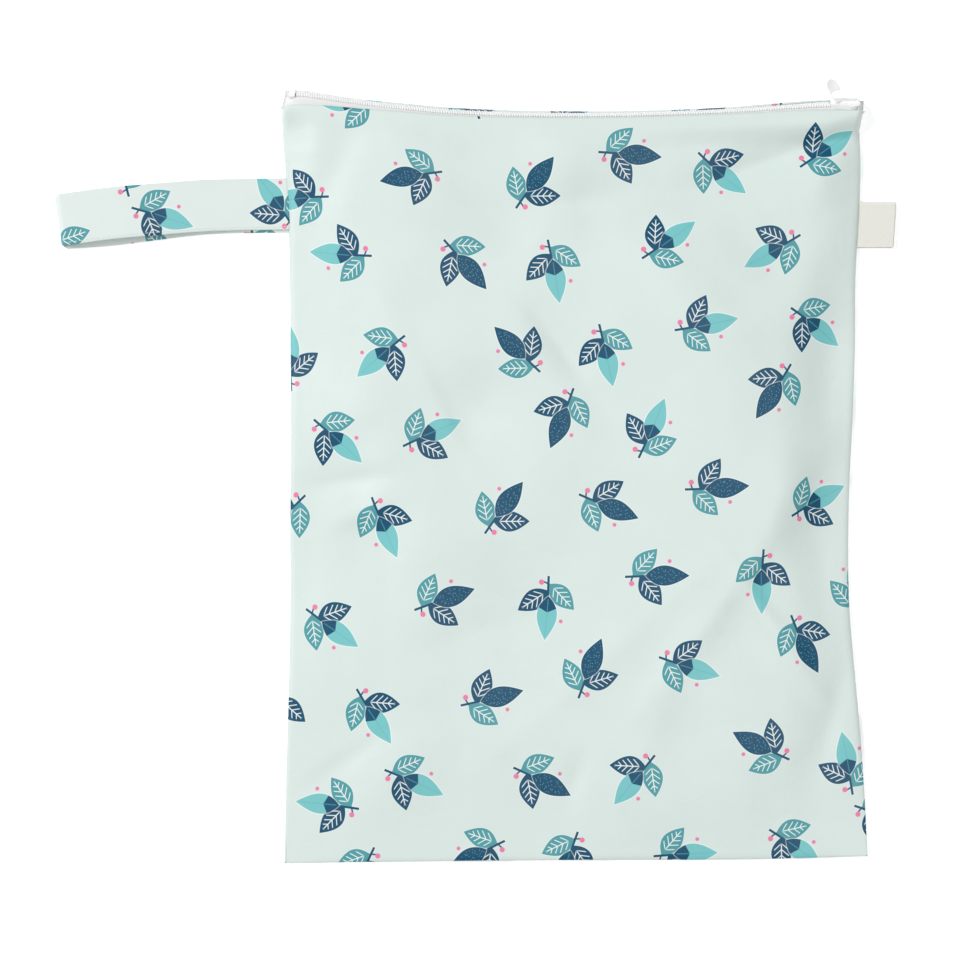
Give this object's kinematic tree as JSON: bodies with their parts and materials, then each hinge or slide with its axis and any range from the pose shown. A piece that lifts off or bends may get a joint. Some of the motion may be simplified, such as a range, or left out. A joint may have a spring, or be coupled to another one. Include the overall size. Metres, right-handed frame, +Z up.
{
  "type": "zipped cloth wet bag",
  "caption": "Flat rectangular cloth wet bag with a zip along its top edge, a folded wrist strap on one side seam and a small folded label on the other.",
  "frame": {"origin": "centre of the flat underside, where the bag lies on a surface", "axes": "+X across the bag towards the label side, +Y from the bottom edge towards the zip, +Z up from the surface"},
  "size_m": [0.4331, 0.4046, 0.0166],
  "materials": {
    "cloth": "satin",
    "zip_tape": "matte",
    "zip_coil": "satin",
    "zip_metal": "gloss",
    "label_ribbon": "satin"
  },
  "bodies": {
    "bag": {"front_panel": "cloth", "back_panel": "cloth", "zip_tape_front": "zip_tape", "zip_tape_back": "zip_tape", "zip_coil": "zip_coil", "zip_bottom_stop": "zip_coil", "zip_slider": "zip_metal", "wrist_strap": "cloth", "side_label": "label_ribbon"},
    "pull": {"zip_pull": "zip_metal"}
  },
  "joints": [
    {"name": "zip_pull_swing", "type": "hinge", "parent": "bag", "child": "pull", "pos_m": [0.13562, 0.19364, 0.01007], "axis": [0.789, 0.3948, -0.4707], "range_deg": [-40, 70]}
  ]
}
